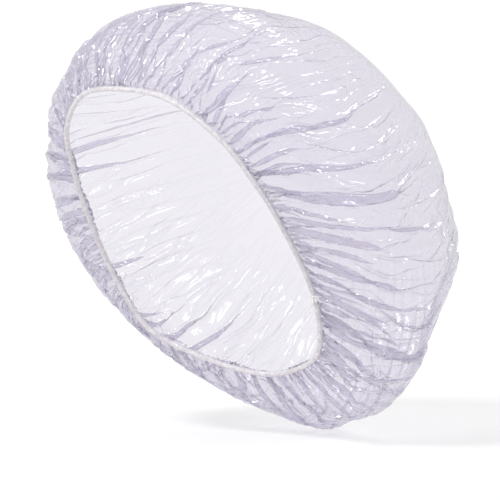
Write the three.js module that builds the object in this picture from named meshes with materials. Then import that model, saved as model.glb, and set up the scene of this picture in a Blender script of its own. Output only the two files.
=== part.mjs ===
import * as THREE from "three";

// A disposable clear film shower cap in its worn shape, in millimetres, +Z up.
// The head that it would sit on is upright and faces -Y, and the origin is the centre of the head opening.
// Reach is measured in the opening's own plane and rise square to it, into the bag.

// Head opening: the line that the elastic follows
const openingLength = 228; // forehead to nape
const openingWidth = 154; // temple to temple
const openingTiltDegrees = 52.4; // from level, forehead side up
const napeDip = 7.5; // how far the band leaves its plane behind the ears
const ringSteps = 64;

// Bag of film, at its greatest reach from the opening's centre
const crownRise = 165;
const crownFrontReach = 127;
const crownBackReach = 184;
const crownSideReach = 126.5;
const apexSetback = 20; // the highest point lies this far behind the centre
const filmWall = 0.5;

// Main folds that fan out from the hem
const foldDepth = 2.6;
const foldUnevenShare = 0.5;
const foldUnevenTurn = 2.4; // radians from one fold to the next, so that no two neighbours match

// Elastic, a round rubber thread in a yarn cover
const coreRadius = 0.45;
const coreSides = 6;
const coverClearance = 0.15;
const coverWall = 0.2;
const coverSides = 8;

// Hem casing round the elastic, open along a slot that the heat seal closes
const casingClearance = 0.25;
const casingWall = 0.5;
const casingSlotWidth = 0.5;
const casingSides = 8;
const sealWidth = 1.3;
const sealHeight = 0.5;
const seatGap = 0.2; // between pieces that lie on each other

// Knot in the elastic, in a notch of the casing
const knotPlaceShare = 0.313; // of the way round from the forehead, on the +X side
const knotRadius = 1.75;
const knotStrandRadius = 0.55;
const knotSteps = 48;
const knotSides = 6;
const knotClearance = 0.3;
const notchMargin = 0.6; // the casing ends this far behind the elastic's ends
const tailLength = 4;
const tailRootRadius = 0.6;
const tailTipRadius = 0.85;
const tailSpacing = 2.6;
const tailSpreadDegrees = 28;
const tailSides = 8;

// Shares of half the opening's length, half its width and the dip, from the forehead round to the nape
const openingShares = [
  [-1, 0, 0],
  [-0.93, 0.42, -0.25],
  [-0.68, 0.76, -0.12],
  [-0.41, 0.89, -0.05],
  [-0.14, 0.965, 0.1],
  [0.33, 0.99, 0.5],
  [0.66, 0.86, 1],
  [0.86, 0.58, 0.45],
  [1, 0, 0],
];

// Outlines of the bag above the band, as shares of the reach on that side and of the rise.
// The apex, where they all meet, isn't listed.
const frontOutlineShares = [[0.97, 0.12], [1, 0.29], [0.87, 0.5], [0.65, 0.68], [0.49, 0.81], [0.17, 0.94]];
const backOutlineShares = [[0.83, 0.04], [0.99, 0.16], [0.98, 0.32], [0.88, 0.55], [0.7, 0.79], [0.32, 0.98]];
const sideOutlineShares = [[0.84, 0.04], [0.93, 0.12], [1, 0.25], [0.95, 0.41], [0.77, 0.7], [0.39, 0.95]];

// Shares of the bag's outline at which its levels lie, closer where it turns. At each, how much fuller
// than an oval the bag is at its back corners, and how deep its folds are.
const levelShares = [0, 0.06, 0.13, 0.2, 0.29, 0.41, 0.55, 0.7, 0.86];
const cornerShares = [0, -0.02, -0.05, -0.08, -0.07, -0.04, 0.04, 0.06, 0.04];
const foldShares = [0, 0.45, 0.85, 1, 0.9, 0.7, 0.5, 0.32, 0.16];

const filmFinish = { color: 0xd8d6e2, roughness: 0.15, metalness: 0 };
const sealFinish = { color: 0xe6e4ee, roughness: 0.25, metalness: 0 };
const casingFinish = { color: 0xe4e1e6, roughness: 0.35, metalness: 0 };
const yarnFinish = { color: 0xefece4, roughness: 0.9, metalness: 0 };
const rubberFinish = { color: 0xd9cdb4, roughness: 0.7, metalness: 0 };

// The opening's own directions: along it from forehead to nape, across it, and out of it into the bag
const tilt = THREE.MathUtils.degToRad(openingTiltDegrees);
const along = new THREE.Vector3(0, Math.cos(tilt), -Math.sin(tilt));
const across = new THREE.Vector3(1, 0, 0);
const intoBag = new THREE.Vector3(0, Math.sin(tilt), Math.cos(tilt));

function fromOpening(reachAlong, reachAcross, rise) {
  return new THREE.Vector3()
    .addScaledVector(along, reachAlong)
    .addScaledVector(across, reachAcross)
    .addScaledVector(intoBag, rise);
}

// The band's line, as one closed smooth curve. The -X half mirrors the +X half.
function makeBandCurve() {
  const halfLength = openingLength / 2;
  const halfWidth = openingWidth / 2;
  const placed = ([alongShare, acrossShare, dipShare], side) =>
    fromOpening(alongShare * halfLength, side * acrossShare * halfWidth, -dipShare * napeDip);
  const leftHalf = openingShares.map((shares) => placed(shares, 1));
  const rightHalf = openingShares.slice(1, -1).reverse().map((shares) => placed(shares, -1));
  const curve = new THREE.CatmullRomCurve3([...leftHalf, ...rightHalf], true, "centripetal");
  curve.arcLengthDivisions = ringSteps * ringSteps;
  return curve;
}

const bandCurve = makeBandCurve();
const bandLength = bandCurve.getLength();

// One station for each step round the band: its place, its way on, its way outward and its way up
const ringStations = Array.from({ length: ringSteps }, (_, step) => {
  const share = step / ringSteps;
  const place = bandCurve.getPointAt(share);
  const onward = bandCurve.getTangentAt(share);
  const outward = new THREE.Vector3().crossVectors(onward, intoBag).normalize();
  const upward = new THREE.Vector3().crossVectors(outward, onward).normalize();
  return { place, onward, outward, upward };
});

// A station between two steps lies on the straight line between them, so that all sweeps share one path
function stationAt(lengthAlong) {
  const stepsAlong = (lengthAlong / bandLength) * ringSteps;
  const before = Math.floor(stepsAlong);
  const from = ringStations[((before % ringSteps) + ringSteps) % ringSteps];
  const to = ringStations[(((before + 1) % ringSteps) + ringSteps) % ringSteps];
  const share = stepsAlong - before;
  const mixed = (key) => from[key].clone().lerp(to[key], share);
  return {
    place: mixed("place"),
    onward: mixed("onward").normalize(),
    outward: mixed("outward").normalize(),
    upward: mixed("upward").normalize(),
  };
}

// Stations of an open sweep, from one length along the band to another
function stationsBetween(start, end) {
  const stepLength = bandLength / ringSteps;
  const stations = [stationAt(start)];
  for (let step = Math.floor(start / stepLength) + 1; step * stepLength < end; step += 1) {
    stations.push(stationAt(step * stepLength));
  }
  stations.push(stationAt(end));
  return stations;
}

function solidFrom(points, triangles) {
  const geometry = new THREE.BufferGeometry();
  const coordinates = points.flatMap((point) => [point.x, point.y, point.z]);
  geometry.setAttribute("position", new THREE.Float32BufferAttribute(coordinates, 3));
  geometry.setIndex(triangles.flat());
  geometry.computeVertexNormals();
  return geometry;
}

// Two triangles for each face between two rings of points, which start at the given numbers.
// The faces look along (way round the ring) x (way from the first ring to the second).
function bridge(firstStart, secondStart, count) {
  const triangles = [];
  for (let i = 0; i < count; i += 1) {
    const next = (i + 1) % count;
    triangles.push([firstStart + i, firstStart + next, secondStart + next]);
    triangles.push([firstStart + i, secondStart + next, secondStart + i]);
  }
  return triangles;
}

function turnedOver([first, second, third]) {
  return [first, third, second];
}

// One ring of points at each station, from an outline of [outward, upward] points in anticlockwise order
function ringsOfPoints(stations, outline) {
  return stations.flatMap((station) =>
    outline.map(([out, up]) =>
      station.place.clone().addScaledVector(station.outward, out).addScaledVector(station.upward, up)
    )
  );
}

function sweepClosed(stations, outline) {
  const triangles = stations.flatMap((_, i) => {
    const next = (i + 1) % stations.length;
    return bridge(next * outline.length, i * outline.length, outline.length);
  });
  return solidFrom(ringsOfPoints(stations, outline), triangles);
}

function sweepOpen(stations, outline) {
  const triangles = [];
  for (let i = 1; i < stations.length; i += 1) {
    triangles.push(...bridge(i * outline.length, (i - 1) * outline.length, outline.length));
  }
  const flat = outline.map(([out, up]) => new THREE.Vector2(out, up));
  const lastStart = (stations.length - 1) * outline.length;
  THREE.ShapeUtils.triangulateShape(flat, []).forEach(([a, b, c]) => {
    triangles.push([a, b, c]);
    triangles.push([lastStart + a, lastStart + c, lastStart + b]);
  });
  return solidFrom(ringsOfPoints(stations, outline), triangles);
}

// A tube that is open at both ends: the rings of its outside come first, then those of its bore
function sweepTube(stations, outside, bore) {
  const count = outside.length;
  const boreStart = stations.length * count;
  const lastStart = boreStart - count;
  const triangles = [];
  for (let i = 1; i < stations.length; i += 1) {
    triangles.push(...bridge(i * count, (i - 1) * count, count));
    triangles.push(...bridge(boreStart + (i - 1) * count, boreStart + i * count, count));
  }
  triangles.push(...bridge(0, boreStart, count));
  triangles.push(...bridge(boreStart + lastStart, lastStart, count));
  return solidFrom([...ringsOfPoints(stations, outside), ...ringsOfPoints(stations, bore)], triangles);
}

function arcOutline(radius, startAngle, endAngle, sides) {
  return Array.from({ length: sides + 1 }, (_, i) => {
    const angle = THREE.MathUtils.lerp(startAngle, endAngle, i / sides);
    return [radius * Math.cos(angle), radius * Math.sin(angle)];
  });
}

function circleOutline(radius, sides) {
  return arcOutline(radius, 0, 2 * Math.PI, sides).slice(0, -1);
}

const cap = new THREE.Group();

function addPart(name, geometry, finish) {
  const mesh = new THREE.Mesh(geometry, new THREE.MeshStandardMaterial(finish));
  mesh.name = name;
  cap.add(mesh);
  return mesh;
}

// Radii outward from the elastic's centre, each from the one inside it
const coverBoreRadius = coreRadius + coverClearance;
const coverRadius = coverBoreRadius + coverWall;
const casingBoreRadius = coverRadius + casingClearance;
const casingRadius = casingBoreRadius + casingWall;
const sealBase = casingRadius + seatGap;
const sealTop = sealBase + sealHeight;
const filmSeat = sealTop + seatGap;

// The elastic's ends stop at the knot, which reaches further on the side of its lobe
const knotPlace = knotPlaceShare * bandLength;
const knotLobeReach = 1.5 * knotRadius + knotStrandRadius;
const knotBackReach = knotRadius + knotStrandRadius;
const elasticStart = knotPlace + knotLobeReach + knotClearance;
const elasticEnd = knotPlace + bandLength - knotBackReach - knotClearance;

function addElastic() {
  const stations = stationsBetween(elasticStart, elasticEnd);
  addPart("elastic_core", sweepOpen(stations, circleOutline(coreRadius, coreSides)), rubberFinish);
  const outside = circleOutline(coverRadius, coverSides);
  const bore = circleOutline(coverBoreRadius, coverSides);
  addPart("elastic_cover", sweepTube(stations, outside, bore), yarnFinish);
}

// The turned-over margin of the film, as a sleeve with its slot on the bag's side
function addHemCasing() {
  const quarterTurn = Math.PI / 2;
  const outerGap = Math.asin(casingSlotWidth / 2 / casingRadius);
  const boreGap = Math.asin(casingSlotWidth / 2 / casingBoreRadius);
  const fullTurn = 2 * Math.PI;
  const outside = arcOutline(
    casingRadius, quarterTurn + outerGap, quarterTurn + fullTurn - outerGap, casingSides);
  const bore = arcOutline(
    casingBoreRadius, quarterTurn + fullTurn - boreGap, quarterTurn + boreGap, casingSides);
  const stations = stationsBetween(elasticStart + notchMargin, elasticEnd - notchMargin);
  addPart("hem_casing", sweepOpen(stations, [...outside, ...bore]), casingFinish);
}

// The bead of melted film that closes the slot all round
function addHemSeal() {
  const half = sealWidth / 2;
  const outline = [[-half, sealBase], [half, sealBase], [half, sealTop], [-half, sealTop]];
  addPart("hem_seal", sweepClosed(ringStations, outline), sealFinish);
}

// One outline of the bag, from the band to the apex, as [reach, rise]
function bagOutline(startReach, outlineShares, reach, apexReach) {
  const points = outlineShares.map(
    ([reachShare, riseShare]) => new THREE.Vector2(reachShare * reach, riseShare * crownRise)
  );
  points.unshift(new THREE.Vector2(startReach, 0));
  points.push(new THREE.Vector2(apexReach, crownRise));
  return new THREE.SplineCurve(points);
}

const frontOutline = bagOutline(openingLength / 2, frontOutlineShares, crownFrontReach, -apexSetback);
const backOutline = bagOutline(openingLength / 2, backOutlineShares, crownBackReach, apexSetback);
const sideOutline = bagOutline(openingWidth / 2, sideOutlineShares, crownSideReach, 0);

// A point of the smooth bag: an oval through the four outlines at that share of their length
function ovalPoint(levelShare, cornerShare, angle) {
  const front = frontOutline.getPointAt(levelShare);
  const back = backOutline.getPointAt(levelShare);
  const side = sideOutline.getPointAt(levelShare);
  const lengthwise = Math.cos(angle);
  const sideways = Math.sin(angle);
  const nearerEnd = lengthwise > 0 ? front : back;
  const atBackCorner = lengthwise < 0 ? (2 * lengthwise * sideways) ** 2 : 0;
  const fullness = 1 + cornerShare * atBackCorner;
  return fromOpening(
    (back.x - front.x) / 2 - ((back.x + front.x) / 2) * lengthwise * fullness,
    side.x * sideways * fullness,
    nearerEnd.y * lengthwise ** 2 + side.y * sideways ** 2
  );
}

// The bag starts on the heat seal and leaves the band's own line as it rises
function bagPoint(levelShare, cornerShare, step) {
  const angle = (step / ringSteps) * 2 * Math.PI;
  const { place, outward, upward } = ringStations[step];
  const seat = place.clone().addScaledVector(upward, filmSeat).addScaledVector(outward, filmWall / 2);
  const fromOval = seat.sub(ovalPoint(0, 0, angle));
  return ovalPoint(levelShare, cornerShare, angle).addScaledVector(fromOval, (1 - levelShare) ** 2);
}

// The bag's film, as a thin shell with its main folds
function addFilmCrown() {
  const smooth = levelShares.map((share, level) =>
    Array.from({ length: ringSteps }, (_, step) => bagPoint(share, cornerShares[level], step))
  );
  const apex = fromOpening(apexSetback, 0, crownRise);
  const outer = [];
  const inner = [];
  smooth.forEach((ring, level) => {
    ring.forEach((point, step) => {
      const onward = ring[(step + 1) % ringSteps].clone().sub(ring[(step + ringSteps - 1) % ringSteps]);
      const above = level + 1 < smooth.length ? smooth[level + 1][step] : apex;
      const below = smooth[Math.max(level - 1, 0)][step];
      const outward = onward.cross(above.clone().sub(below)).normalize();
      const ridgeOrValley = step % 2 === 0 ? 1 : -1;
      const uneven = 1 + foldUnevenShare * Math.sin(step * foldUnevenTurn);
      const lift = ridgeOrValley * uneven * foldShares[level] * foldDepth;
      outer.push(point.clone().addScaledVector(outward, lift));
      inner.push(point.clone().addScaledVector(outward, lift - filmWall));
    });
  });
  const innerStart = outer.length;
  const topRing = (smooth.length - 1) * ringSteps;
  const outerApex = 2 * innerStart;
  const innerApex = outerApex + 1;
  const triangles = [];
  for (let level = 1; level < smooth.length; level += 1) {
    const lower = (level - 1) * ringSteps;
    const upper = level * ringSteps;
    triangles.push(...bridge(lower, upper, ringSteps));
    triangles.push(...bridge(innerStart + lower, innerStart + upper, ringSteps).map(turnedOver));
  }
  triangles.push(...bridge(innerStart, 0, ringSteps));
  for (let step = 0; step < ringSteps; step += 1) {
    const next = (step + 1) % ringSteps;
    triangles.push([topRing + step, topRing + next, outerApex]);
    triangles.push([innerStart + topRing + next, innerStart + topRing + step, innerApex]);
  }
  const tips = [apex, apex.clone().addScaledVector(intoBag, -filmWall)];
  addPart("film_crown", solidFrom([...outer, ...inner, ...tips], triangles), filmFinish);
}

// The knot is an overhand loop lying flat under the seal, with the two cut ends pointing out of the bag
function addKnot() {
  const { place, onward, outward, upward } = stationAt(knotPlace);
  const loop = new THREE.TorusKnotGeometry(knotRadius, knotStrandRadius, knotSteps, knotSides);
  const knot = addPart("elastic_knot", loop, yarnFinish);
  knot.setRotationFromMatrix(
    new THREE.Matrix4().makeBasis(onward, outward.clone().negate(), upward)
  );
  knot.position.copy(place);

  const spread = THREE.MathUtils.degToRad(tailSpreadDegrees);
  const knotHalfThickness = knotRadius / 2 + knotStrandRadius;
  const rootDrop = knotHalfThickness + knotClearance + tailRootRadius * Math.sin(spread);
  [["elastic_tail_front", -1], ["elastic_tail_back", 1]].forEach(([name, way]) => {
    const direction = upward.clone().multiplyScalar(-Math.cos(spread));
    direction.addScaledVector(onward, way * Math.sin(spread));
    const strand = new THREE.CylinderGeometry(tailTipRadius, tailRootRadius, tailLength, tailSides);
    const tail = addPart(name, strand, yarnFinish);
    tail.quaternion.setFromUnitVectors(new THREE.Vector3(0, 1, 0), direction);
    tail.position.copy(place)
      .addScaledVector(upward, -rootDrop)
      .addScaledVector(onward, (way * tailSpacing) / 2)
      .addScaledVector(direction, tailLength / 2);
  });
}

addFilmCrown();
addHemCasing();
addHemSeal();
addElastic();
addKnot();

export default cap;
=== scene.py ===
import math

import bpy
import numpy as np
from mathutils import Matrix, Vector


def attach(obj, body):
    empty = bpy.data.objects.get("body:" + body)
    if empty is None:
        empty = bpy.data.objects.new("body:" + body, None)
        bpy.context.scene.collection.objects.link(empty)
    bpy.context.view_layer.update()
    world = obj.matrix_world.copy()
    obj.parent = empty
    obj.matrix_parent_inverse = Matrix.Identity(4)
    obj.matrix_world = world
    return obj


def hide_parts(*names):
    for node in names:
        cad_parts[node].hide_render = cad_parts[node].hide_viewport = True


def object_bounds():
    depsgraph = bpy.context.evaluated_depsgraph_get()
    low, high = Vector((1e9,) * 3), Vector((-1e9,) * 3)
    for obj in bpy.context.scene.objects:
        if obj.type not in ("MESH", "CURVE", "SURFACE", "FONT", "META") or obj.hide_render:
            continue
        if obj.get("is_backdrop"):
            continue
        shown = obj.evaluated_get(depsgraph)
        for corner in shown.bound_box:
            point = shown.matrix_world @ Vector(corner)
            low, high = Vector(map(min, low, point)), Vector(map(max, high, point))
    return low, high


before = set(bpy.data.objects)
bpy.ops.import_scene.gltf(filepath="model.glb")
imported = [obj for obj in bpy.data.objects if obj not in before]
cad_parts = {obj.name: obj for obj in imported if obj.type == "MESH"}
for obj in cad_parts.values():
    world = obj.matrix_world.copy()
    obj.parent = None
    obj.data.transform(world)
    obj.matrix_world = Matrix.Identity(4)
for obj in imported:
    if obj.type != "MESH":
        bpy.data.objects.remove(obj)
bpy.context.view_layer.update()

# A disposable clear film shower cap in its worn shape, in metres.
# The origin is the centre of the head opening, +Z is up and the head would face -Y.

# Head opening, the line that the elastic follows
OPENING_LENGTH = 0.228
OPENING_WIDTH = 0.154
OPENING_TILT = math.radians(52.4)
NAPE_DIP = 0.0075

# Bag of film
CROWN_RISE = 0.165
CROWN_FRONT_REACH = 0.127
CROWN_BACK_REACH = 0.184
CROWN_SIDE_REACH = 0.1265
APEX_SETBACK = 0.020

# Hem, radii outward from the elastic's centre
CORE_RADIUS = 0.00045
COVER_RADIUS = 0.0008
CASING_BORE = 0.00105
CASING_RADIUS = 0.00155
SEAL_BASE = 0.00175
SEAL_TOP = 0.00225
FILM_SEAT = 0.00245

# Knot in the elastic
KNOT_PLACE_SHARE = 0.313
KNOT_RADIUS = 0.00175
KNOT_STRAND = 0.00055
KNOT_CLEARANCE = 0.0003
NOTCH_MARGIN = 0.0006

# The opening's edge, as shares of its half length, its half width and the dip at the nape
OPENING_SHARES = (
    (-1, 0, 0),
    (-0.93, 0.42, -0.25),
    (-0.68, 0.76, -0.12),
    (-0.41, 0.89, -0.05),
    (-0.14, 0.965, 0.1),
    (0.33, 0.99, 0.5),
    (0.66, 0.86, 1),
    (0.86, 0.58, 0.45),
    (1, 0, 0),
)

# Outlines of the bag from the band up, as shares of its reach and its rise
FRONT_OUTLINE_SHARES = ((0.97, 0.12), (1, 0.29), (0.87, 0.5), (0.65, 0.68), (0.49, 0.81), (0.17, 0.94))
BACK_OUTLINE_SHARES = ((0.83, 0.04), (0.99, 0.16), (0.98, 0.32), (0.88, 0.55), (0.7, 0.79), (0.32, 0.98))
SIDE_OUTLINE_SHARES = ((0.84, 0.04), (0.93, 0.12), (1, 0.25), (0.95, 0.41), (0.77, 0.7), (0.39, 0.95))

# How much fuller than an oval the bag is at its back corners, at these shares of the way up its outline
LEVEL_SHARES = (0, 0.06, 0.13, 0.2, 0.29, 0.41, 0.55, 0.7, 0.86, 1)
CORNER_SHARES = (0, -0.02, -0.05, -0.08, -0.07, -0.04, 0.04, 0.06, 0.04, 0)

ALONG = np.array((0, math.cos(OPENING_TILT), -math.sin(OPENING_TILT)))
ACROSS = np.array((1.0, 0, 0))
INTO_BAG = np.array((0, math.sin(OPENING_TILT), math.cos(OPENING_TILT)))


def from_opening(along, across, rise):
    """Places in the part's frame, from reach along and across the opening and rise out of it."""
    parts = (along, across, rise)
    return sum(np.asarray(part)[..., None] * axis for part, axis in zip(parts, (ALONG, ACROSS, INTO_BAG)))


def unit(vectors):
    return vectors / np.linalg.norm(vectors, axis=-1, keepdims=True)


def hermite(start, end, start_slope, end_slope, share):
    """Points of a smooth span, from its two ends and its slopes there."""
    share = share[:, None]
    square, cube = share**2, share**3
    return (
        (2 * cube - 3 * square + 1) * start
        + (cube - 2 * square + share) * start_slope
        + (3 * square - 2 * cube) * end
        + (cube - square) * end_slope
    )


def even(points, count, closed=False):
    """Points at equal lengths along a line of many points."""
    if closed:
        points = np.vstack((points, points[:1]))
    lengths = np.concatenate(((0,), np.cumsum(np.linalg.norm(np.diff(points, axis=0), axis=1))))
    wanted = np.linspace(0, lengths[-1], count + 1)[:-1] if closed else np.linspace(0, lengths[-1], count)
    return np.stack([np.interp(wanted, lengths, column) for column in points.T], axis=1)


SAMPLES = 60  # points on each span of a curve


def closed_curve(points):
    """A smooth closed line through the points, whose speed follows the root of their spacing."""
    share = np.arange(SAMPLES) / SAMPLES
    spans = []
    for i in range(len(points)):
        a, b, c, d = (points[(i + k) % len(points)] for k in (-1, 0, 1, 2))
        before, here, after = (np.linalg.norm(q - p) ** 0.5 for p, q in ((a, b), (b, c), (c, d)))
        start_slope = ((b - a) / before - (c - a) / (before + here) + (c - b) / here) * here
        end_slope = ((c - b) / here - (d - b) / (here + after) + (d - c) / after) * here
        spans.append(hermite(b, c, start_slope, end_slope, share))
    return np.vstack(spans)


def open_curve(points):
    """A smooth line through the points, from the first to the last."""
    share = np.arange(SAMPLES) / SAMPLES
    spans = []
    last = len(points) - 1
    for i in range(last):
        a, b, c, d = (points[min(max(i + k, 0), last)] for k in (-1, 0, 1, 2))
        spans.append(hermite(b, c, (c - a) / 2, (d - b) / 2, share))
    return np.vstack(spans + [points[-1:]])


def band_line(count):
    """The elastic's centre line, from the forehead round by +X, with its directions at each point."""
    shares = np.array(OPENING_SHARES, float)
    other_side = shares[-2:0:-1] * (1, -1, 1)
    shares = np.vstack((shares, other_side))
    sizes = (OPENING_LENGTH / 2, OPENING_WIDTH / 2, -NAPE_DIP)
    points = from_opening(*(shares[:, k] * sizes[k] for k in range(3)))
    place = even(closed_curve(points), count, closed=True)
    onward = unit(np.roll(place, -1, axis=0) - np.roll(place, 1, axis=0))
    outward = unit(np.cross(onward, INTO_BAG))
    upward = unit(np.cross(outward, onward))
    return place, onward, outward, upward


def bag_outlines(count):
    """Front, back and side outlines of the bag up to its pole, which is the middle of the film."""
    front_sizes = np.array((CROWN_FRONT_REACH, CROWN_RISE))
    back_sizes = np.array((CROWN_BACK_REACH, CROWN_RISE))
    front = np.array(FRONT_OUTLINE_SHARES) * front_sizes * (-1, 1)
    back = np.array(BACK_OUTLINE_SHARES) * back_sizes
    half = OPENING_LENGTH / 2
    whole = open_curve(
        np.vstack(((-half, 0), front, (APEX_SETBACK, CROWN_RISE), back[::-1], (half, 0)))
    )
    whole = even(whole, 2 * count - 1)
    pole = whole[count - 1]
    side = np.array(SIDE_OUTLINE_SHARES) * (CROWN_SIDE_REACH, pole[1])
    side = open_curve(np.vstack(((OPENING_WIDTH / 2, 0), side, (0, pole[1]))))
    return whole[:count], whole[: count - 2 : -1], even(side, count)


OUTLINE_POINTS = 400
front_outline, back_outline, side_outline = bag_outlines(OUTLINE_POINTS)
corner_line = open_curve(np.stack((LEVEL_SHARES, CORNER_SHARES), axis=1))
RIM_POINTS = 1440
rim_place, _, rim_outward, rim_upward = band_line(RIM_POINTS)
rim_seat = rim_place + rim_upward * FILM_SEAT
band_length = np.linalg.norm(np.roll(rim_place, -1, axis=0) - rim_place, axis=1).sum()


def oval_point(level, angle):
    """A point of the bag as it would be over a flat oval opening, fuller at its back corners."""
    where = level * (OUTLINE_POINTS - 1)
    steps = np.arange(OUTLINE_POINTS)
    (front_reach, front_rise), (back_reach, back_rise), (side_reach, side_rise) = (
        [np.interp(where, steps, column) for column in outline.T]
        for outline in (front_outline, back_outline, side_outline)
    )
    lengthwise, sideways = np.cos(angle), np.sin(angle)
    middle = (back_reach + front_reach) / 2
    half = (back_reach - front_reach) / 2
    end_rise = np.where(lengthwise > 0, front_rise, back_rise)
    at_back_corner = np.where(lengthwise < 0, (2 * lengthwise * sideways) ** 2, 0)
    fullness = 1 + np.interp(level, corner_line[:, 0], corner_line[:, 1]) * at_back_corner
    return from_opening(
        middle - half * lengthwise * fullness,
        side_reach * sideways * fullness,
        end_rise * lengthwise**2 + side_rise * sideways**2,
    )


def bag_point(level, angle):
    """A point of the smooth bag. Level runs from 0 at the band to 1 at the pole."""
    step = angle / (2 * math.pi) * RIM_POINTS
    around = np.arange(RIM_POINTS + 1)
    seat = np.vstack((rim_seat, rim_seat[:1]))
    on_rim = np.stack([np.interp(step % RIM_POINTS, around, column) for column in seat.T], axis=-1)
    from_oval = on_rim - oval_point(np.zeros_like(level), angle)
    return oval_point(level, angle) + from_oval * ((1 - level) ** 2)[..., None]


# Film, in metres as it lies flat and as it hangs
FILM_SLACK = 1.018  # its length from the band to its middle over the smooth bag's
FOLD_INWARD = 0.0010  # how far the folds may lie to either side of the uneven bag
FOLD_OUTWARD = 0.0020
FOLD_AT_BAND = 0.0014  # the same, right at the band
FOLD_GROWTH = 0.055  # over this much film the folds reach their full depth
SAG = 1.5e-6  # how far the film's own weight draws it down in each step
MOTION_KEPT = 0.97  # from each step to the next
EDGE_FIRMNESS = 0.9  # share of a wrong length that is put right at once
FOLD_STIFFNESS = 0.012  # the same for points that face each other across an edge
BAG_PULL_EVERY = 4  # steps from one pull towards the bag to the next
FOLD_SPRING = 0.004  # strength of that pull for one step, away from the band and at the band
BAND_SPRING = 0.02
FILM_HOLD = 0.006  # each pull's strength towards the point's own place on the smooth bag, likewise
BAND_HOLD = 0.14
CREASES_KEPT_NEAR_BAND = 0.15  # share of the film next to the band that keeps more and more creases
FLAT_TURNS = 181  # directions in which the flat film's radius is measured
FLAT_LEVELS = 200  # points along each of them

# Folds that the film starts with: how many go round the cap, how far they reach to either side, and
# the shares of the way from the middle to the band where they begin, are deepest and end
LONG_FOLDS = (
    (52, 0.0018, 0.10, 0.50, 1.00),
    (96, 0.0022, 0.30, 0.72, 1.00),
    (190, 0.0020, 0.55, 0.86, 1.00),
)
FINE_FOLDS = ((120, 0.0008, 0.30, 0.70, 0.90), (210, 0.0010, 0.84, 0.97, 1.00))
FOLD_LEFT_AT_END = 0.3  # share of a fold's depth that is left where it ends

# Waves of the bag itself, listed in the same way
BAG_WAVES = ((7, 0.0016, 0.05, 0.60, 0.95), (16, 0.0018, 0.20, 0.70, 0.95))
WAVE_SEED = 1167

# Larger lumps of the bag: the turn from the forehead, in degrees, and the share of the way out to the
# band at which each one lies, its height, and how far it spreads in turn and in share
BAG_LUMPS = (
    (38, 0.36, 0.0045, 20, 0.16),
    (66, 0.32, 0.0065, 18, 0.14),
    (84, 0.33, 0.0020, 6, 0.10),
    (128, 0.53, -0.0050, 12, 0.10),
    (345, 0.74, -0.0015, 12, 0.12),
    (288, 0.86, 0.0045, 16, 0.10),
)
FILM_SEED = 7
FOLD_WANDER = 5  # how often a fold changes its line between the film's middle and the band

# Rings of points of the film, steps of settling and the folds that are added first
FILM_LEVELS = ((90, 260, LONG_FOLDS), (180, 160, FINE_FOLDS))[: 2]
BAG_CENTRE = from_opening(along=0.020, across=0, rise=0.075)  # folds are measured to and from here
LEAST = 1e-9  # keeps a division from being one by nothing


def ring_start(ring):
    """Number of a ring's first point. Ring 0 is the middle point, and ring i has 6i points."""
    return np.where(ring > 0, 1 + 3 * ring * (ring - 1), 0)


def point_number(ring, sector, offset):
    """A point's number, from its ring, its sixth of the ring and its step along that sixth."""
    return ring_start(ring) + (sector * ring + offset) % np.maximum(6 * ring, 1)


def disc_places(rings):
    """Ring, sector and step along the sector of each point of a disc."""
    ring = np.repeat(np.arange(rings + 1), np.maximum(6 * np.arange(rings + 1), 1))
    step = np.arange(len(ring)) - ring_start(ring)
    return ring, step // np.maximum(ring, 1), step % np.maximum(ring, 1)


def disc_triangles(rings):
    """The triangles between the rings of a disc, each by its three points' numbers."""
    faces = []
    sector = np.arange(6)[:, None]
    for ring in range(1, rings + 1):
        offset = np.arange(ring)
        inner = point_number(ring - 1, sector, offset)
        outer = point_number(ring, sector, offset)
        outer_next = point_number(ring, sector, offset + 1)
        faces.append(np.stack((inner, outer, outer_next), axis=-1).reshape(-1, 3))
        inner_next = point_number(ring - 1, sector, offset + 1)
        between = np.stack((inner, outer_next, inner_next), axis=-1)[:, :-1]
        faces.append(between.reshape(-1, 3))
    return np.vstack(faces)


def edges_and_hinges(triangles):
    """The pairs of points along each edge, and the pairs that face each other across an edge."""
    corners = triangles[:, [0, 1, 2, 1, 2, 0, 2, 0, 1]].reshape(-1, 3)
    ends = np.sort(corners[:, :2], axis=1)
    order = np.lexsort((ends[:, 1], ends[:, 0]))
    ends, facing = ends[order], corners[order, 2]
    again = np.flatnonzero((ends[1:] == ends[:-1]).all(axis=1))
    first = np.ones(len(ends), bool)
    first[again + 1] = False
    return ends[first], np.stack((facing[again], facing[again + 1]), axis=1)


def apart(pairs, count, random):
    """The pairs in groups in which no point comes twice, so that a group can move all at once."""
    groups = []
    left = pairs[random.permutation(len(pairs))]
    while len(left):
        order = np.arange(len(left))
        earliest = np.full(count, len(left))
        np.minimum.at(earliest, left[:, 0], order)
        np.minimum.at(earliest, left[:, 1], order)
        chosen = (earliest[left[:, 0]] == order) & (earliest[left[:, 1]] == order)
        group = left[chosen]
        groups.append(group[np.argsort(group[:, 0])])
        left = left[~chosen]
    return groups


def links(pairs, flat, free, random):
    """Each group's two lists of points, their distance in the flat film and each one's share of a move."""
    made = []
    for group in apart(pairs, len(flat), random):
        a, b = group.T
        share = free[a] / np.maximum(free[a] + free[b], LEAST)
        rest = np.linalg.norm(flat[a] - flat[b], axis=1).astype(np.float32)
        share_a, share_b = share[:, None], (1 - share)[:, None] * (free[b] > 0)[:, None]
        made.append((a, b, rest, share_a.astype(np.float32), share_b.astype(np.float32)))
    return made


def keep_length(points, link, firmness, only_push=False):
    """Moves the linked points towards their distance in the flat film, or only apart."""
    a, b, rest, share_a, share_b = link
    way = points[b] - points[a]
    length = np.sqrt(np.einsum("ij,ij->i", way, way)) + LEAST
    change = firmness * (1 - rest / length)
    if only_push:
        change = np.minimum(change, 0)
    way *= change[:, None]
    points[a] += share_a * way
    points[b] -= share_b * way


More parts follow.
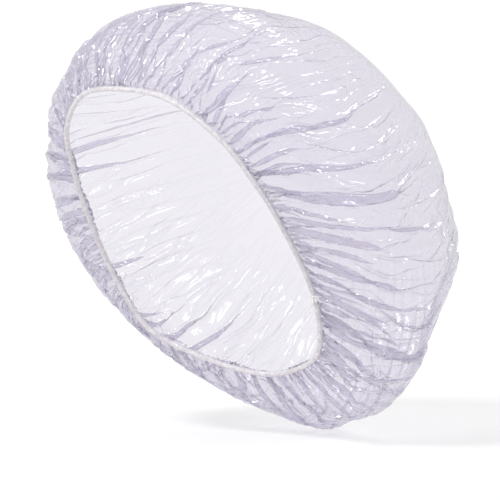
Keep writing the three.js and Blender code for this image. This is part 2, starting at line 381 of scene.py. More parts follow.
# The table of how far the smooth bag reaches in each direction
LATITUDES = 120
LONGITUDES = 240
SAMPLES_DOWN = 3  # points of the bag for each row and each column of the table
SAMPLES_AROUND = 4
TABLE_SMOOTHING = 5  # times that each place in the table is blended with its neighbours


def directions(points):
    """Way from the bag's centre to each point, its length, and its row and column in the table of reach."""
    way = points - BAG_CENTRE
    reach = np.sqrt(np.einsum("ij,ij->i", way, way))
    way = way / reach[:, None]
    row = np.arccos(np.clip(way @ INTO_BAG, -1, 1)) / math.pi * (LATITUDES - 1)
    turn = np.arctan2(way @ ACROSS, -(way @ ALONG)) / (2 * math.pi)
    return way, reach, row, (turn % 1) * LONGITUDES


def reach_table():
    """How far the smooth bag lies from its centre in each direction, carried on past the band."""
    level, angle = np.meshgrid(
        np.linspace(0, 1, SAMPLES_DOWN * LATITUDES),
        np.linspace(0, 2 * math.pi, SAMPLES_AROUND * LONGITUDES, endpoint=False),
    )
    _, reach, row, column = directions(bag_point(level.ravel(), angle.ravel()))
    row = np.round(row).astype(int)
    column = np.round(column).astype(int) % LONGITUDES
    table = np.zeros((LATITUDES, LONGITUDES))
    hits = np.zeros((LATITUDES, LONGITUDES))
    np.add.at(table, (row, column), reach)
    np.add.at(hits, (row, column), 1)
    table /= np.maximum(hits, 1)
    table[0] = table[0][hits[0] > 0].mean()
    for k in range(1, LATITUDES):
        table[k] = np.where(hits[k] > 0, table[k], table[k - 1])
    for _ in range(TABLE_SMOOTHING):
        table = (np.roll(table, 1, axis=1) + 2 * table + np.roll(table, -1, axis=1)) / 4
        padded = np.vstack((table[:1], table, table[-1:]))
        table = (padded[:-2] + 2 * table + padded[2:]) / 4
    return table


def smooth_reach(table, row, column):
    """The reach at places between the table's rows and columns."""
    low = np.minimum(row.astype(int), LATITUDES - 2)
    left = column.astype(int) % LONGITUDES
    right = (left + 1) % LONGITUDES
    down, across = row - low, column - np.floor(column)
    upper = table[low, left] * (1 - across) + table[low, right] * across
    lower = table[low + 1, left] * (1 - across) + table[low + 1, right] * across
    return upper * (1 - down) + lower * down


def film_flat(rings):
    """The flat film's points, each one's angle round it and its share of the way out to the band."""
    ring, sector, offset = disc_places(rings)
    angle = (sector * ring + offset) / np.maximum(6 * ring, 1) * 2 * math.pi
    around = np.linspace(0, 2 * math.pi, FLAT_TURNS)
    level = np.linspace(0, 1, FLAT_LEVELS)
    lines = bag_point(*(grid.ravel() for grid in np.meshgrid(level, around)))
    lines = lines.reshape(FLAT_TURNS, FLAT_LEVELS, 3)
    lengths = FILM_SLACK * np.linalg.norm(np.diff(lines, axis=1), axis=2).sum(axis=1)
    share = ring / rings
    out = share * np.interp(angle, around, lengths)
    return np.stack((out * np.cos(angle), out * np.sin(angle)), axis=1), angle, share, lengths


def finer(points, rings):
    """The points of a disc with twice as many rings, the new ones midway between the old."""
    ring, sector, offset = disc_places(2 * rings)
    inner = point_number(ring // 2, sector, offset // 2)
    outer = point_number((ring + 1) // 2, sector, (offset + 1) // 2)
    return (points[inner] + points[outer]) / 2


def settle_film(points, lumps, rings, steps, table, random):
    """Lets the film find its folds, with its lengths kept and its edge held on the band."""
    flat, angle, share, lengths = film_flat(rings)
    triangles = disc_triangles(rings)
    free = (share < 1).astype(float)
    edges, hinges = edges_and_hinges(triangles)
    edge_links = links(edges, flat, free, random)
    hinge_links = links(hinges, flat, free, random)
    rim = np.flatnonzero(share == 1)
    seat = bag_point(np.zeros(len(rim)), angle[rim]).astype(np.float32)
    from_band = (1 - share) * lengths.mean()
    growth = np.clip(from_band / FOLD_GROWTH, 0, 1)
    inward = FOLD_AT_BAND + growth * (FOLD_INWARD - FOLD_AT_BAND)
    outward = FOLD_AT_BAND + growth * (FOLD_OUTWARD - FOLD_AT_BAND)
    spring = BAND_SPRING + growth * (FOLD_SPRING - BAND_SPRING)
    hold = (BAND_HOLD + growth * (FILM_HOLD - BAND_HOLD)).astype(np.float32)[:, None]
    home = bag_point(1 - share, angle).astype(np.float32)
    points = points.astype(np.float32)
    before = points.copy()
    for step in range(steps):
        motion = (points - before) * MOTION_KEPT
        motion[:, 2] -= SAG
        before[:] = points
        points += motion
        for link in edge_links:
            keep_length(points, link, EDGE_FIRMNESS)
        for link in hinge_links:
            keep_length(points, link, FOLD_STIFFNESS, only_push=True)
        if step % BAG_PULL_EVERY == 0:
            way, reach, row, column = directions(points)
            smooth = smooth_reach(table, row, column) + lumps
            wanted = reach + BAG_PULL_EVERY * spring * (smooth - reach)
            wanted = np.clip(wanted, smooth - inward, smooth + outward)
            move = (way * (wanted - reach)[:, None]).astype(np.float32)
            move += hold * (home - points)
            points += move
            before += move
        points[rim] = seat
    return points, triangles, flat


def drawn_out(points, rings):
    """The film without its shortest creases across the folds, which its own stiffness would take out."""
    ring, sector, offset = disc_places(rings)
    inside = np.flatnonzero((ring > 0) & (ring < rings))
    here, side, step = ring[inside], sector[inside], offset[inside]
    middle = np.zeros((len(inside), 3))
    for there in (here - 1, here + 1):
        along = step * there / here
        low = np.floor(along).astype(int)
        part = (along - low)[:, None]
        middle += points[point_number(there, side, low)] * (1 - part) / 2
        middle += points[point_number(there, side, low + 1)] * part / 2
    half_way = np.clip((1 - here / rings) / CREASES_KEPT_NEAR_BAND, 0, 1)[:, None] / 2
    points[inside] += half_way * (middle - points[inside])
    return points


def ease(share):
    """The share with a slow start and end."""
    return share * share * (3 - 2 * share)


def fold_lift(folds, angle, share, random):
    """How far the folds lift each point off the bag."""
    lift = np.zeros(len(angle))
    for count, depth, begin, deepest, end in folds:
        sides = 2 * count
        heights = random.normal(0, 1, (FOLD_WANDER + 2, sides))
        column = angle / (2 * math.pi) * sides
        row = share * FOLD_WANDER
        low, left = row.astype(int), column.astype(int)
        down, across = ease(row - low), ease(column - left)
        left, right = left % sides, (left + 1) % sides
        upper = heights[low, left] * (1 - across) + heights[low, right] * across
        lower = heights[low + 1, left] * (1 - across) + heights[low + 1, right] * across
        strength = np.interp(share, (begin, deepest, end), (0, 1, FOLD_LEFT_AT_END))
        lift += depth * strength * (upper * (1 - down) + lower * down)
    return lift


def bag_lift(angle, share):
    """How far the bag itself lies off the smooth one, before any folds."""
    lift = fold_lift(BAG_WAVES, angle, share, np.random.default_rng(WAVE_SEED))
    for turn, place, height, turn_spread, place_spread in BAG_LUMPS:
        aside = (np.degrees(angle) - turn + 180) % 360 - 180
        lift += height * np.exp(-((aside / turn_spread) ** 2) - ((share - place) / place_spread) ** 2)
    return lift


def make_film():
    """The film's points and triangles, and each point's place in the flat film."""
    random = np.random.default_rng(FILM_SEED)
    table = reach_table()
    points = None
    for rings, steps, folds in FILM_LEVELS:
        _, angle, share, _ = film_flat(rings)
        lumps = bag_lift(angle, share)
        points = bag_point(1 - share, angle) if points is None else finer(points, rings // 2)
        points = points + directions(points)[0] * fold_lift(folds, angle, share, random)[:, None]
        points, triangles, flat = settle_film(points, lumps, rings, steps, table, random)
    return drawn_out(points, rings), triangles, flat


def solid_mesh(name, points, faces, material):
    """A piece of the cap, shaded smooth, from its points and from faces with equal numbers of corners."""
    mesh = bpy.data.meshes.new(name)
    points = np.asarray(points, dtype=np.float32)
    faces = np.asarray(faces, dtype=np.int32)
    mesh.vertices.add(len(points))
    mesh.vertices.foreach_set("co", points.ravel())
    mesh.loops.add(faces.size)
    mesh.loops.foreach_set("vertex_index", faces.ravel())
    mesh.polygons.add(len(faces))
    mesh.polygons.foreach_set("loop_start", np.arange(0, faces.size, faces.shape[1], dtype=np.int32))
    mesh.polygons.foreach_set("use_smooth", np.ones(len(faces), dtype=bool))
    mesh.update(calc_edges=True)
    mesh.validate()
    piece = bpy.data.objects.new(name, mesh)
    bpy.context.scene.collection.objects.link(piece)
    mesh.materials.append(material)
    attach(piece, "root")
    return piece


def add_uv(piece, flat):
    """Lays the mesh's texture map out by the flat place of each point, in metres."""
    layer = piece.data.uv_layers.new(name="flat")
    numbers = np.empty(len(piece.data.loops), dtype=np.int32)
    piece.data.loops.foreach_get("vertex_index", numbers)
    layer.data.foreach_set("uv", flat[numbers].astype(np.float32).ravel())


def sweep(frames, outline, closed):
    """A ring of points at each place along a line, each with its own outline, and the faces between."""
    place, outward, upward = frames
    rings, count = outline.shape[:2]
    points = (
        place[:, None]
        + outward[:, None] * outline[..., 0, None]
        + upward[:, None] * outline[..., 1, None]
    )
    here = np.arange(rings if closed else rings - 1)[:, None] * count
    there = (here + count) % (rings * count)
    side = np.arange(count)
    nearby = (side + 1) % count
    faces = np.stack((here + side, there + side, there + nearby, here + nearby), axis=-1)
    return points.reshape(-1, 3), faces.reshape(-1, 4)


def circle(sides):
    """The turns of points spaced evenly round a circle, in one row, and the points."""
    turn = np.arange(sides)[None] / sides * 2 * math.pi
    return turn, np.stack((np.cos(turn), np.sin(turn)), axis=-1)


def band_at(lengths):
    """Places and directions on the band, at lengths along it from the forehead, also past one round."""
    where = lengths / band_length * RIM_POINTS
    around = np.arange(3 * RIM_POINTS + 1)

    def at(values):
        values = np.vstack((values, values, values, values[:1]))
        return np.stack([np.interp(where + RIM_POINTS, around, column) for column in values.T], axis=1)

    return at(rim_place), unit(at(rim_outward)), unit(at(rim_upward))


def even_lengths(start, end, spacing):
    return np.linspace(start, end, int((end - start) / spacing))


TUBE_SIDES = 20


def tube(name, lengths, outer, bore, material):
    """A sleeve along the band. Outer gives its radius from the length along it and the turn round it."""
    turn, ring = circle(TUBE_SIDES)
    outside = ring * outer(lengths[:, None], turn)[..., None]
    inside = np.broadcast_to(ring * bore, outside.shape)
    there_and_back = [np.vstack((rows, rows[::-1])) for rows in band_at(lengths)]
    points, faces = sweep(there_and_back, np.concatenate((outside, inside)), closed=True)
    return solid_mesh(name, points, faces, material)


ODD_DIRECTION = (0.31, 0.57, 0.76)  # no thread starts along it
END_SHARE = 0.01  # an open thread's ends are drawn in to this share of its outline


def strand(place, radius, sides, flute=0.0, flutes=0, twist=0.0, closed=False):
    """Points and faces of a thread along a line of places, with shallow flutes that wind round it."""
    if closed:
        onward = unit(np.roll(place, -1, axis=0) - np.roll(place, 1, axis=0))
    else:
        ahead = np.vstack((place[1:], 2 * place[-1:] - place[-2:-1]))
        behind = np.vstack((2 * place[:1] - place[1:2], place[:-1]))
        onward = unit(ahead - behind)
    side = np.empty_like(place)
    side[0] = unit(np.cross(onward[0], ODD_DIRECTION))
    for i in range(1, len(place)):
        side[i] = unit(side[i - 1] - onward[i] * (side[i - 1] @ onward[i]))
    other = np.cross(onward, side)
    turn, ring = circle(sides)
    share = np.linspace(0, 1, len(place))[:, None]
    width = np.broadcast_to(np.reshape(radius, (-1, 1)), (len(place), 1))
    outline = ring * (width * (1 + flute * np.cos(flutes * turn + twist * share)))[..., None]
    if not closed:
        place, side, other = (np.vstack((rows[:1], rows, rows[-1:])) for rows in (place, side, other))
        outline = np.concatenate((outline[:1] * END_SHARE, outline, outline[-1:] * END_SHARE))
    return sweep((place, side, other), outline, closed)


def joined(parts):
    """Points and faces of several strands as one mesh."""
    points, faces, count = [], [], 0
    for part_points, part_faces in parts:
        points.append(part_points)
        faces.append(part_faces + count)
        count += len(part_points)
    return np.vstack(points), np.vstack(faces)


# The elastic runs from one side of the knot round to the other
KNOT_LOBE = 1.5 * KNOT_RADIUS  # how far the knot's loop reaches onward
knot_place = KNOT_PLACE_SHARE * band_length
knot_room = KNOT_STRAND + KNOT_CLEARANCE
elastic_start = knot_place + KNOT_LOBE + knot_room
elastic_end = knot_place + band_length - KNOT_RADIUS - knot_room

# Ribs of the hem sleeve
SLEEVE_SPACING = 0.00025  # between the rings of its mesh
RIB_PITCH = 0.0015
RIB_DEPTH = 0.00042
RIB_DEPTH_SHARES = (0.45, 1.0)  # the least and the most of that depth
RIB_DEPTH_STEPS = 700  # changes of depth round the band
RIB_DEPTH_SEED = 3
RIB_SHARPNESS = 1.3
RIB_UNEVENNESS = 0.35  # spread of their places, as a share of half a pitch
RIB_PLACE_SEED = 11
PITCHES_PER_SHIFT = 1.5  # from one uneven place to the next
RIB_SLANT = 0.6  # how far their phase runs ahead on one side of the sleeve
RIB_SLANT_TURN = 0.7  # turn round the sleeve from which it does so
NECK_NARROWNESS = 10  # of the ridge that reaches up to the weld
NECK_FLATNESS = 0.6  # share of the ribs' depth that is lost on it


def rib_phase(lengths):
    """A phase that grows by a turn for each rib on average, with ribs that differ in width."""
    way = lengths[-1] - lengths[0]
    knots = np.linspace(lengths[0], lengths[-1], int(way / RIB_PITCH / PITCHES_PER_SHIFT))
    random = np.random.default_rng(RIB_PLACE_SEED)
    shift = random.normal(0, RIB_UNEVENNESS * math.pi, len(knots))
    return 2 * math.pi * lengths / RIB_PITCH + np.interp(lengths, knots, shift)


def make_hem_sleeve(material):
    """The turned-over margin of the film, drawn up into fine ribs round the elastic."""
    random = np.random.default_rng(RIB_DEPTH_SEED)
    strength = random.uniform(*RIB_DEPTH_SHARES, RIB_DEPTH_STEPS)
    changes = np.linspace(elastic_start, elastic_end, RIB_DEPTH_STEPS)

    def outer(lengths, turn):
        phase = rib_phase(lengths[:, 0])[:, None] + RIB_SLANT * np.sin(turn - RIB_SLANT_TURN)
        rib = 1 - np.abs(np.sin(phase / 2)) ** RIB_SHARPNESS
        depth = RIB_DEPTH * np.interp(lengths, changes, strength)
        neck = np.clip(np.sin(turn), 0, 1) ** NECK_NARROWNESS
        body = CASING_RADIUS - RIB_DEPTH / 2 + depth * rib * (1 - NECK_FLATNESS * neck)
        return body + neck * (SEAL_BASE - CASING_RADIUS)

    lengths = even_lengths(elastic_start + NOTCH_MARGIN, elastic_end - NOTCH_MARGIN, SLEEVE_SPACING)
    sleeve = tube("hem_sleeve", lengths, outer, CASING_BORE, material)
    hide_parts("hem_casing")


# Weld of the hem, and its crimps
WELD_SPACING = 0.0003
WELD_HALF_THICKNESS = 0.00016
WELD_BULGE = 0.08  # of its base and its top, as a share of its height
WELD_CORNER = 0.6  # where the bulge sets in, as a share of its half thickness
CRIMP_PITCH = 0.0014
CRIMP_REACH = 0.00035
CRIMP_AT_BASE = 0.4  # share of that reach at the weld's base
CRIMP_UNEVENNESS = 0.8  # how far their phase runs ahead or behind
CRIMP_UNEVEN_EVERY = 7  # crimps from one that runs ahead to the next


def make_weld_line(material):
    """The line along which both layers of the margin are melted together, crimped by the gathers."""
    count = int(band_length / WELD_SPACING)
    place, _, outward, upward = band_line(count)
    share = np.arange(count) / count
    phase = 2 * math.pi * round(band_length / CRIMP_PITCH) * share
    phase = phase + CRIMP_UNEVENNESS * np.sin(phase / CRIMP_UNEVEN_EVERY) * np.sin(math.pi * share)
    shift = CRIMP_REACH * np.sin(phase)[:, None]
    aside = np.array((-1, -WELD_CORNER, WELD_CORNER, 1, 1, WELD_CORNER, -WELD_CORNER, -1))
    rise = np.array((0, -WELD_BULGE, -WELD_BULGE, 0, 1, 1 + WELD_BULGE, 1 + WELD_BULGE, 1))
    outline = np.empty((count, len(aside), 2))
    outline[..., 0] = aside * WELD_HALF_THICKNESS + shift * (CRIMP_AT_BASE + (1 - CRIMP_AT_BASE) * rise)
    outline[..., 1] = SEAL_BASE + rise * (SEAL_TOP - SEAL_BASE)
    points, faces = sweep((place, outward, upward), outline, closed=True)
    weld = solid_mesh("weld_line", points, faces, material)
    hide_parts("hem_seal")


# Core and cover of the elastic
CORE_SPACING = 0.0012
CORE_SIDES = 12
COVER_SPACING = 0.0004
COVER_GAP = 0.00008  # between the core and its cover
BRAID_PITCH = 0.0009
BRAID_YARNS = 4  # that wind each way
BRAID_DEPTH = 0.06  # as a share of the cover's radius


def make_elastic(yarn, rubber):
    """The rubber thread and the braided yarn round it, both open at the knot."""
    place, _, _ = band_at(even_lengths(elastic_start, elastic_end, CORE_SPACING))
    core = solid_mesh("rubber_core", *strand(place, CORE_RADIUS, CORE_SIDES), rubber)
    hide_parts("elastic_core")

    def outer(lengths, turn):
        winding = lengths / BRAID_PITCH * math.pi
        braid = np.cos(BRAID_YARNS * turn + winding) * np.cos(BRAID_YARNS * turn - winding)
        return COVER_RADIUS * (1 + BRAID_DEPTH * braid)

    lengths = even_lengths(elastic_start - KNOT_CLEARANCE, elastic_end, COVER_SPACING)
    cover = tube("yarn_cover", lengths, outer, CORE_RADIUS + COVER_GAP, yarn)
    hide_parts("elastic_cover")


def knot_frame():
    """The knot's place on the band, and the directions along, out from and up from the band there."""
    place, outward, upward = (rows[0] for rows in band_at(np.array([knot_place])))
    return place, np.cross(upward, outward), outward, upward


KNOT_ROUNDS = 2  # the thread goes round twice while it passes three times through its own loop
KNOT_PASSES = 3
KNOT_POINTS = 240
KNOT_SIDES = 18
KNOT_FLUTES = 6
KNOT_FLUTE_DEPTH = 0.09  # as a share of the thread's radius
KNOT_FLUTE_TURNS = 12


def make_knot(material):
    """One overhand loop of the covered elastic."""
    place, onward, outward, upward = knot_frame()
    turn = np.linspace(0, KNOT_ROUNDS * 2 * math.pi, KNOT_POINTS, endpoint=False)
    passing = KNOT_PASSES / KNOT_ROUNDS * turn
    reach = KNOT_RADIUS * (2 + np.cos(passing)) / 2
    rise = KNOT_RADIUS * np.sin(passing) / 2
    line = (
        place
        + np.outer(reach * np.cos(turn), onward)
        - np.outer(reach * np.sin(turn), outward)
        + np.outer(rise, upward)
    )
    twist = KNOT_FLUTE_TURNS * 2 * math.pi
    thread = strand(line, KNOT_STRAND, KNOT_SIDES, KNOT_FLUTE_DEPTH, KNOT_FLUTES, twist, closed=True)
    knot = solid_mesh("tied_knot", *thread, material)
    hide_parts("elastic_knot")


# Cut ends of the elastic
TAIL_LENGTH = 0.004
TAIL_SPACING = 0.0026
TAIL_SPREAD = math.radians(28)
TAIL_GAP = 0.0001  # below the knot
TAIL_POINTS = 12
TAIL_SEED = 19
STUB_SHARE = 0.55  # of the length, where the thread is still whole
STUB_RADIUS = 0.0005
STUB_SIDES = 12
STUB_FLUTES = 6
STUB_FLUTE_DEPTH = 0.1
STUB_TWIST = 9
FIBRES = 16
FIBRE_LENGTH_SHARES = (0.75, 1.15)
FIBRE_LEAN = 0.18  # how far a fibre strays, as a share of its length
FIBRE_CURL = 0.175
FIBRE_FOOT_SPREAD = 0.0002
FIBRE_RADII = (0.00011, 0.00006)  # at its foot and at its tip
FIBRE_SIDES = 5


def make_tails(material):
    """The elastic's two cut ends below the knot, whose yarn has frayed."""
    place, onward, _, upward = knot_frame()
    random = np.random.default_rng(TAIL_SEED)
    drop = KNOT_RADIUS / 2 + KNOT_STRAND + TAIL_GAP
    share = np.linspace(0, 1, TAIL_POINTS)[:, None]
    width = np.linspace(*FIBRE_RADII, TAIL_POINTS)
    for name, way in (("front", -1), ("back", 1)):
        direction = -math.cos(TAIL_SPREAD) * upward + way * math.sin(TAIL_SPREAD) * onward
        root = place - upward * drop + onward * (way * TAIL_SPACING / 2)
        stub = root + direction * share * TAIL_LENGTH * STUB_SHARE
        parts = [strand(stub, STUB_RADIUS, STUB_SIDES, STUB_FLUTE_DEPTH, STUB_FLUTES, STUB_TWIST)]
        for _ in range(FIBRES):
            lean = random.normal(0, FIBRE_LEAN, 3)
            curl = random.normal(0, FIBRE_CURL, 3)
            length = TAIL_LENGTH * random.uniform(*FIBRE_LENGTH_SHARES)
            foot = root + np.cross(direction, random.normal(0, 1, 3)) * FIBRE_FOOT_SPREAD
            line = foot + length * (direction * share + lean * share**2 + curl * share**3)
            parts.append(strand(line, width, FIBRE_SIDES))
        tail = solid_mesh("frayed_tail_" + name, *joined(parts), material)
        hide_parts("elastic_tail_" + name)


def node(tree, kind, inputs=None, **settings):
    """A shader node. Inputs are plain values or the sockets that feed them."""
    made = tree.nodes.new(kind)
    for name, value in settings.items():
        setattr(made, name, value)
    for name, value in (inputs or {}).items():
        if isinstance(value, bpy.types.NodeSocket):
            tree.links.new(value, made.inputs[name])
        else:
            made.inputs[name].default_value = value
    return made


def maths(tree, operation, *values):
    return node(tree, "ShaderNodeMath", dict(enumerate(values)), operation=operation).outputs[0]


def vector_maths(tree, operation, inputs):
    return node(tree, "ShaderNodeVectorMath", inputs, operation=operation).outputs


def span(tree, value, low, high, start=0.0, end=1.0):
    """The value's place between low and high, carried to the same place between start and end."""
    inputs = {"Value": value, "From Min": low, "From Max": high, "To Min": start, "To Max": end}
    return node(tree, "ShaderNodeMapRange", inputs, clamp=True).outputs[0]


MOST_NOISE = (0.35, 0.65)  # most values of a noise lie between these


def noise(tree, place, scale, detail=2.0, roughness=0.5):
    inputs = {"Vector": place, "Scale": scale, "Detail": detail, "Roughness": roughness}
    return node(tree, "ShaderNodeTexNoise", inputs).outputs


def bumps(tree, height, strength, distance):
    inputs = {"Height": height, "Strength": strength, "Distance": distance}
    return node(tree, "ShaderNodeBump", inputs).outputs[0]


def tone(tree, share, first, second):
    inputs = {"Factor": share, "A": first, "B": second}
    return node(tree, "ShaderNodeMix", inputs, data_type="RGBA").outputs["Result"]


def shader(tree, kind, inputs):
    return node(tree, "ShaderNode" + kind, inputs).outputs[0]


def mixed(tree, share, first, second):
    """Two shaders mixed, with this share of the second one."""
    return shader(tree, "MixShader", {0: share, 1: first, 2: second})


def object_place(tree):
    return node(tree, "ShaderNodeTexCoord").outputs["Object"]


def new_material(name):
    material = bpy.data.materials.new(name)
    material.use_nodes = True
    material.node_tree.nodes.clear()
    return material, material.node_tree


def end_material(tree, surface):
    node(tree, "ShaderNodeOutputMaterial", {"Surface": surface})


# Clear film
FILM_TINT = (0.88, 0.865, 0.905, 1)
FILM_HAZE = (0.9, 0.87, 0.985, 1)
FILM_INDEX = 1.75  # higher than the film's own, because both of its faces reflect
FILM_ROUGHNESS = 0.07
FILM_GLOW_SHARE = 0.5  # share of its milky part that lights up from behind
HAZE_EVERYWHERE = 0.17
HAZE_EDGE_ON = 0.42
# Haze along the creases: partly the film's own crease whitening, partly painted white highlight lines
CREASE_HAZE_AND_PAINTED_HIGHLIGHT = 0.22
EDGE_ON_SHARPNESS = 2.0  # how closely the haze keeps to what is seen edge on
CREASE_HAZE_AND_PAINTED_HIGHLIGHT_SHARPNESS = 3.0  # and to the creases, where it is partly the film's own whitening and partly painted highlight lines

# The film's creases run along the edges of a net of cells: how many cells a unit of direction holds,
# how wide a crease is, and between which distances from the film's middle they set in
LONG_CREASES = {"scale": 11.0, "width": 0.11, "begin": (0.05, 0.15)}
FINE_CREASES = {"scale": 36.0, "width": 0.14, "begin": (0.08, 0.24)}
CREASE_STRETCH = 0.5  # the less of it, the longer they run out from the middle
CREASE_WANDER = 0.09
LONG_CREASE_HEIGHT = 0.0011
LONG_CREASE_SHARPNESS = 1.5
FINE_CREASE_HEIGHT = 0.0005
FINE_CREASE_STRENGTHS = (0.2, 1.0)  # from patch to patch of the film
CRUMPLE_HEIGHT = 0.00012
BUMP_STRENGTH = 0.8


def sheen(tree, body, roughness, bump):
    """A film's body with its reflections. Its back reflects as its front does, because it is thin."""
    behind = node(tree, "ShaderNodeNewGeometry").outputs["Backfacing"]
    index = span(tree, behind, 0.0, 1.0, FILM_INDEX, 1 / FILM_INDEX)
    mirror = node(tree, "ShaderNodeFresnel", {"IOR": index, "Normal": bump}).outputs[0]
    gloss = shader(tree, "BsdfGlossy", {"Roughness": roughness, "Normal": bump})
    return mixed(tree, mirror, body, gloss)


def creases(tree, rays, out, scale, width, begin):
    """How near each place is to a crease, with the creases along the edges of an uneven net."""
    inputs = {"Vector": rays, "Scale": scale, "Randomness": 1.0}
    net = node(tree, "ShaderNodeTexVoronoi", inputs, feature="DISTANCE_TO_EDGE").outputs["Distance"]
    return maths(tree, "MULTIPLY", span(tree, net, 0.0, width, 1.0, 0.0), span(tree, out, *begin))


def film_crinkles(tree):
    """The height of the film's creases in metres, and how much they whiten it, from its flat places. The
    whitening is partly the film's own and partly painted highlight lines.
    """
    flat = node(tree, "ShaderNodeUVMap", uv_map="flat").outputs[0]
    out = vector_maths(tree, "LENGTH", {0: flat})["Value"]
    way = vector_maths(tree, "NORMALIZE", {0: flat})[0]
    x, y, _ = node(tree, "ShaderNodeSeparateXYZ", {"Vector": way}).outputs
    stretched = maths(tree, "MULTIPLY", out, CREASE_STRETCH)
    rays = node(tree, "ShaderNodeCombineXYZ", {"X": x, "Y": y, "Z": stretched}).outputs[0]
    aside = noise(tree, flat, scale=22.0)["Color"]
    aside = vector_maths(tree, "SCALE", {0: aside, "Scale": CREASE_WANDER})[0]
    rays = vector_maths(tree, "ADD", {0: rays, 1: aside})[0]
    patches = span(tree, noise(tree, flat, scale=30.0)["Fac"], 0.4, 0.6, *FINE_CREASE_STRENGTHS)
    long_creases = creases(tree, rays, out, **LONG_CREASES)
    fine_creases = maths(tree, "MULTIPLY", creases(tree, rays, out, **FINE_CREASES), patches)
    crumple = noise(tree, flat, scale=160.0, detail=4.0, roughness=0.6)["Fac"]
    height = maths(tree, "POWER", long_creases, LONG_CREASE_SHARPNESS)
    height = maths(tree, "MULTIPLY", height, LONG_CREASE_HEIGHT)
    height = maths(tree, "ADD", height, maths(tree, "MULTIPLY", fine_creases, FINE_CREASE_HEIGHT))
    height = maths(tree, "ADD", height, maths(tree, "MULTIPLY", crumple, CRUMPLE_HEIGHT))
    # Whiteness along the creases: partly the film's own, partly painted highlight lines
    crease_white_and_painted_highlight = maths(tree, "MAXIMUM", long_creases, fine_creases)
    return height, maths(tree, "POWER", crease_white_and_painted_highlight, CREASE_HAZE_AND_PAINTED_HIGHLIGHT_SHARPNESS)


def film_material():
    """Clear film: it lets most light through, is milky where it is seen edge on, and glints. Its creases
    are whitened, partly as the film's own whitening and partly as painted highlight lines.
    """
    material, tree = new_material("clear film")
    height, crease_white_and_painted_highlight = film_crinkles(tree)
    bump = bumps(tree, height, BUMP_STRENGTH, distance=1.0)
    edge_on = node(tree, "ShaderNodeLayerWeight", {"Blend": 0.35}).outputs["Facing"]
    through = shader(tree, "BsdfTransparent", {"Color": FILM_TINT})
    white = shader(tree, "BsdfDiffuse", {"Color": FILM_HAZE})
    glow = shader(tree, "BsdfTranslucent", {"Color": FILM_HAZE})
    dense = maths(tree, "MULTIPLY", maths(tree, "POWER", edge_on, EDGE_ON_SHARPNESS), HAZE_EDGE_ON)
    # Painted highlight lines along the creases, together with some of the film's own crease whitening
    painted_highlight_and_crease_haze = maths(tree, "MULTIPLY", crease_white_and_painted_highlight, CREASE_HAZE_AND_PAINTED_HIGHLIGHT)
    haze = maths(tree, "ADD", maths(tree, "ADD", dense, painted_highlight_and_crease_haze), HAZE_EVERYWHERE)
    body = mixed(tree, haze, through, mixed(tree, FILM_GLOW_SHARE, white, glow))
    end_material(tree, sheen(tree, body, FILM_ROUGHNESS, bump))
    return material


# Gathered film of the hem
HEM_TONES = (0.92, 0.9, 0.93, 1), (0.985, 0.96, 0.965, 1)
HEM_TINT = (0.9, 0.89, 0.92, 1)
HEM_ROUGHNESS = 0.22
HEM_GLOW_SHARE = 0.35
HEM_CLEAR_SHARES = (0.34, 0.12)  # from its thin patches to its dense ones


def hem_material():
    """Several gathered layers of the same film, so milky, over the pale elastic."""
    material, tree = new_material("gathered film")
    place = object_place(tree)
    grain = noise(tree, place, scale=2600.0, detail=3.0, roughness=0.6)["Fac"]
    patches = noise(tree, place, scale=340.0)["Fac"]
    bump = bumps(tree, grain, strength=0.5, distance=0.0002)
    colour = tone(tree, span(tree, patches, *MOST_NOISE), *HEM_TONES)
    white = shader(tree, "BsdfDiffuse", {"Color": colour, "Normal": bump})
    glow = shader(tree, "BsdfTranslucent", {"Color": colour, "Normal": bump})
    through = shader(tree, "BsdfTransparent", {"Color": HEM_TINT})
    clear = span(tree, patches, 0.3, 0.7, *HEM_CLEAR_SHARES)
    body = mixed(tree, clear, mixed(tree, HEM_GLOW_SHARE, white, glow), through)
    end_material(tree, sheen(tree, body, HEM_ROUGHNESS, bump))
    return material


YARN_TONES = (0.88, 0.86, 0.85, 1), (0.95, 0.935, 0.925, 1)


def yarn_material():
    """Off-white textured yarn, matt, with a fine nap."""
    material, tree = new_material("elastic yarn")
    place = object_place(tree)
    fibres = noise(tree, place, scale=5200.0, detail=4.0, roughness=0.7)["Fac"]
    soil = noise(tree, place, scale=420.0)["Fac"]
    cloth = {
        "Base Color": tone(tree, span(tree, soil, *MOST_NOISE), *YARN_TONES),
        "Roughness": 0.92,
        "Sheen Weight": 0.35,
        "Sheen Roughness": 0.5,
        "Normal": bumps(tree, fibres, strength=0.7, distance=0.0002),
    }
    end_material(tree, shader(tree, "BsdfPrincipled", cloth))
    return material


RUBBER_TONES = (0.74, 0.66, 0.52, 1), (0.82, 0.76, 0.64, 1)


def rubber_material():
    """Pale rubber thread, faintly speckled."""
    material, tree = new_material("elastic rubber")
    speck = noise(tree, object_place(tree), scale=3000.0)["Fac"]
    rubber = {
        "Base Color": tone(tree, speck, *RUBBER_TONES),
        "Roughness": 0.65,
        "Normal": bumps(tree, speck, strength=0.3, distance=0.0001),
    }
    end_material(tree, shader(tree, "BsdfPrincipled", rubber))
    return material


# Camera, with angles in degrees
VIEW_AZIMUTH = 38
VIEW_ELEVATION = 5
VIEW_DISTANCE = 2.5
VIEW_HALF_WIDTH = 0.150  # half of what the picture spans at the cap
VIEW_RIGHT = 0.03504  # from the cap's origin to the picture's middle, to the right and up
VIEW_UP = -0.009


def seen_from(azimuth, elevation):
    """The direction from the cap to a camera or a lamp, both angles in degrees."""
    a, e = math.radians(azimuth), math.radians(elevation)
    return Vector((math.sin(a) * math.cos(e), -math.cos(a) * math.cos(e), math.sin(e)))


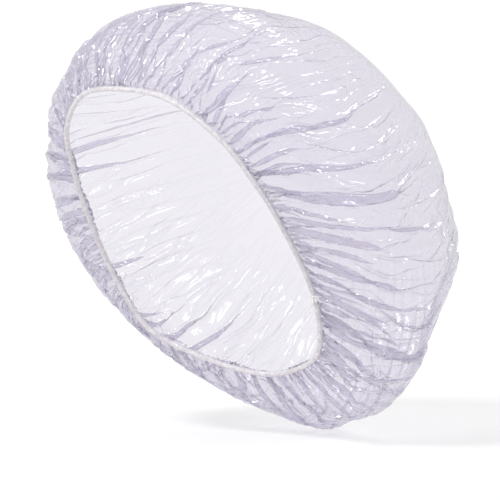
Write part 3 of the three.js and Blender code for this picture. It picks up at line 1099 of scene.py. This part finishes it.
def add_camera():
    back = seen_from(VIEW_AZIMUTH, VIEW_ELEVATION)
    right = seen_from(VIEW_AZIMUTH + 90, 0)
    up = back.cross(right)
    data = bpy.data.cameras.new("camera")
    data.angle = 2 * math.atan(VIEW_HALF_WIDTH / VIEW_DISTANCE)
    camera = bpy.data.objects.new("camera", data)
    bpy.context.scene.collection.objects.link(camera)
    target = right * VIEW_RIGHT + up * VIEW_UP
    axes = Matrix((right, up, back)).transposed().to_4x4()
    camera.matrix_world = Matrix.Translation(target + back * VIEW_DISTANCE) @ axes
    bpy.context.scene.camera = camera


FLOOR_SIZE = 60.0
FLOOR_GAP = 0.0005
FLOOR_SHADES = (0.97, 1.0)
FLOOR_WHITE_SHARE = 0.55  # of the floor's colour that no shadow takes away
WORLD_LIGHT = 0.46


def seen_directly(tree):
    """1 for what the camera sees, also in gloss and through clear pieces, and 0 for light on the part."""
    path = node(tree, "ShaderNodeLightPath").outputs
    seen = maths(tree, "MAXIMUM", path["Is Camera Ray"], path["Is Glossy Ray"])
    return maths(tree, "MAXIMUM", seen, path["Is Transmission Ray"])


def add_floor(lowest):
    material, tree = new_material("pale floor")
    grain = noise(tree, object_place(tree), scale=4.0)["Fac"]
    shade = span(tree, grain, 0.0, 1.0, *FLOOR_SHADES)
    plain = node(tree, "ShaderNodeCombineColor", {"Red": shade, "Green": shade, "Blue": shade})
    lit = shader(tree, "BsdfDiffuse", {"Color": plain.outputs[0]})
    white = shader(tree, "Emission", {"Strength": 1.0})
    share = maths(tree, "MULTIPLY", seen_directly(tree), FLOOR_WHITE_SHARE)
    end_material(tree, mixed(tree, share, lit, white))
    half = FLOOR_SIZE / 2
    corners = [(x * half, y * half, lowest - FLOOR_GAP) for x, y in ((-1, -1), (1, -1), (1, 1), (-1, 1))]
    mesh = bpy.data.meshes.new("floor")
    mesh.from_pydata(corners, [], [(0, 1, 2, 3)])
    floor = bpy.data.objects.new("floor", mesh)
    mesh.materials.append(material)
    bpy.context.scene.collection.objects.link(floor)
    floor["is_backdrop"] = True


def add_world():
    world = bpy.data.worlds.new("white room")
    bpy.context.scene.world = world
    world.use_nodes = True
    tree = world.node_tree
    tree.nodes.clear()
    strength = span(tree, seen_directly(tree), 0.0, 1.0, WORLD_LIGHT, 1.0)
    back = node(tree, "ShaderNodeBackground", {"Color": (1, 1, 1, 1), "Strength": strength}).outputs[0]
    node(tree, "ShaderNodeOutputWorld", {"Surface": back})


# Lamps: azimuth and elevation that they shine from, strength, and angular size, with angles in degrees
LAMPS = (
    ("key", -5, 48, 1.9, 14),
    ("side", 95, 35, 0.7, 14),
    ("back", 200, 40, 0.4, 10),
)


def add_lamps():
    for name, azimuth, elevation, strength, spread in LAMPS:
        data = bpy.data.lights.new(name, "SUN")
        data.energy = strength
        data.angle = math.radians(spread)
        lamp = bpy.data.objects.new(name, data)
        lamp.rotation_mode = "QUATERNION"
        lamp.rotation_quaternion = seen_from(azimuth, elevation).to_track_quat("Z", "Y")
        bpy.context.scene.collection.objects.link(lamp)


def add_film(material):
    points, triangles, flat = make_film()
    film = solid_mesh("film_bag", points, triangles, material)
    add_uv(film, flat)
    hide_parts("film_crown")


# Light has to pass through many layers of film
TRANSPARENT_BOUNCES = 40
ALL_BOUNCES = 20
DIFFUSE_BOUNCES = 12

scene = bpy.context.scene
scene.view_settings.view_transform = "Standard"
scene.cycles.transparent_max_bounces = TRANSPARENT_BOUNCES
scene.cycles.max_bounces = ALL_BOUNCES
scene.cycles.diffuse_bounces = DIFFUSE_BOUNCES
add_camera()
add_world()
add_lamps()
hem_film = hem_material()
yarn = yarn_material()
add_film(film_material())
make_hem_sleeve(hem_film)
make_weld_line(hem_film)
make_elastic(yarn, rubber_material())
make_knot(yarn)
make_tails(yarn)
add_floor(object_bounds()[0].z)
